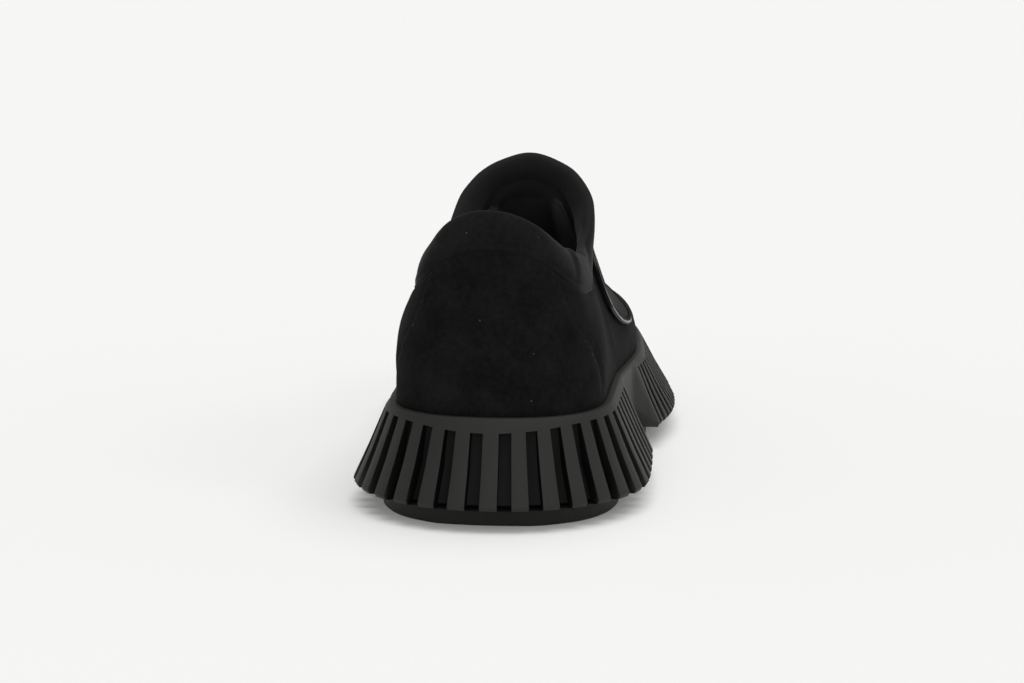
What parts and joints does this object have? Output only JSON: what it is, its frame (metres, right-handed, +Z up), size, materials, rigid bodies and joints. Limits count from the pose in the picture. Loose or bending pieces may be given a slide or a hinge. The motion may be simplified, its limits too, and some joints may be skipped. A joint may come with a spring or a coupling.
{
  "type": "suede loafer",
  "caption": "Right slip-on loafer with a hollow suede upper, padded collar, smooth saddle strap and a chunky ribbed rubber unit sole.",
  "frame": {"origin": "on the floor, under the middle of the shoe's length and width", "axes": "+Y along the shoe to the toe, +X to the outer side of the right foot, +Z up"},
  "size_m": [0.1148, 0.281, 0.1127],
  "materials": {
    "moulded_rubber": "matte",
    "tread_rubber": "matte",
    "suede": "napped",
    "collar_suede": "napped",
    "smooth_leather": "polished",
    "insole_leather": "matte"
  },
  "bodies": {
    "root": {"sole_unit": "moulded_rubber", "outsole_heel": "tread_rubber", "outsole_forefoot": "tread_rubber", "upper": "suede", "collar": "collar_suede", "saddle_strap": "smooth_leather", "insole": "insole_leather"}
  },
  "joints": []
}
